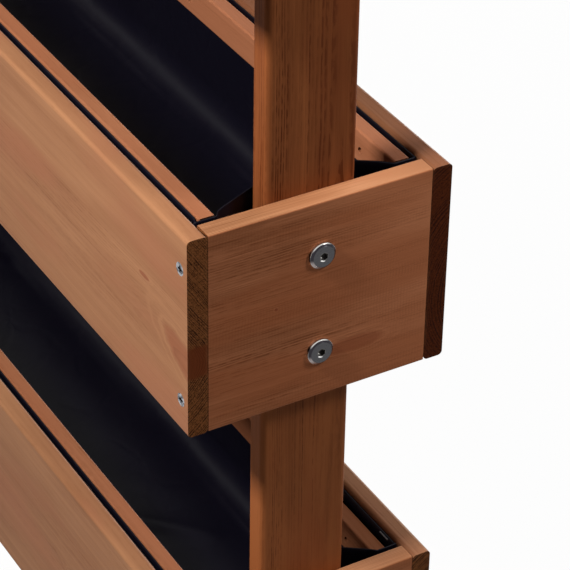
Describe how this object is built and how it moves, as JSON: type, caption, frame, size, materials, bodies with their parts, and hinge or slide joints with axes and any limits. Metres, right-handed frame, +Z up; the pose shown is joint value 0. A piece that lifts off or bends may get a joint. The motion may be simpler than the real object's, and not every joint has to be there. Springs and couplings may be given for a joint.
{
  "type": "tiered planting bed",
  "caption": "Tiered planting bed: film-lined wooden trough boxes, open gaps between them, bolted at each end to a flat upright post.",
  "frame": {"origin": "bottom centre: on the floor, midway between the two ends and between the front and rear faces", "axes": "+X along the boxes towards the pictured end, -Y towards the pictured long face, +Z up"},
  "size_m": [0.8064, 0.186, 0.765],
  "materials": {
    "boards": "brown glazed softwood, planed",
    "posts": "brown glazed softwood, planed, rounded edges",
    "battens": "brown glazed softwood strip",
    "bottom_timber": "brown glazed softwood, sawn",
    "liner_film": "black polyethylene film, soft sheen",
    "zinc_screws": "bright zinc plating",
    "dark_screws": "dark phosphate",
    "bolt_steel": "nickel plated",
    "staple_wire": "galvanised wire"
  },
  "bodies": {
    "root": {"left_post": "posts", "right_post": "posts", "lower_front_board": "boards", "lower_rear_board": "boards", "lower_left_end_board": "boards", "lower_right_end_board": "boards", "lower_front_batten": "battens", "lower_rear_batten": "battens", "lower_front_ledger": "bottom_timber", "lower_rear_ledger": "bottom_timber", "lower_slat_1": "bottom_timber", "lower_slat_2": "bottom_timber", "lower_slat_3": "bottom_timber", "lower_slat_4": "bottom_timber", "lower_slat_5": "bottom_timber", "lower_slat_6": "bottom_timber", "lower_slat_7": "bottom_timber", "lower_liner": "liner_film", "middle_front_board": "boards", "middle_rear_board": "boards", "middle_left_end_board": "boards", "middle_right_end_board": "boards", "middle_front_batten": "battens", "middle_rear_batten": "battens", "middle_front_ledger": "bottom_timber", "middle_rear_ledger": "bottom_timber", "middle_slat_1": "bottom_timber", "middle_slat_2": "bottom_timber", "middle_slat_3": "bottom_timber", "middle_slat_4": "bottom_timber", "middle_slat_5": "bottom_timber", "middle_slat_6": "bottom_timber", "middle_slat_7": "bottom_timber", "middle_liner": "liner_film", "upper_front_board": "boards", "upper_rear_board": "boards", "upper_left_end_board": "boards", "upper_right_end_board": "boards", "upper_front_batten": "battens", "upper_rear_batten": "battens", "upper_front_ledger": "bottom_timber", "upper_rear_ledger": "bottom_timber", "upper_slat_1": "bottom_timber", "upper_slat_2": "bottom_timber", "upper_slat_3": "bottom_timber", "upper_slat_4": "bottom_timber", "upper_slat_5": "bottom_timber", "upper_slat_6": "bottom_timber", "upper_slat_7": "bottom_timber", "upper_liner": "liner_film", "corner_screws": "zinc_screws", "batten_screws": "dark_screws", "ledger_screws": "zinc_screws", "slat_screws": "zinc_screws", "liner_staples": "staple_wire", "post_bolts": "bolt_steel", "post_nuts": "bolt_steel"}
  },
  "joints": []
}
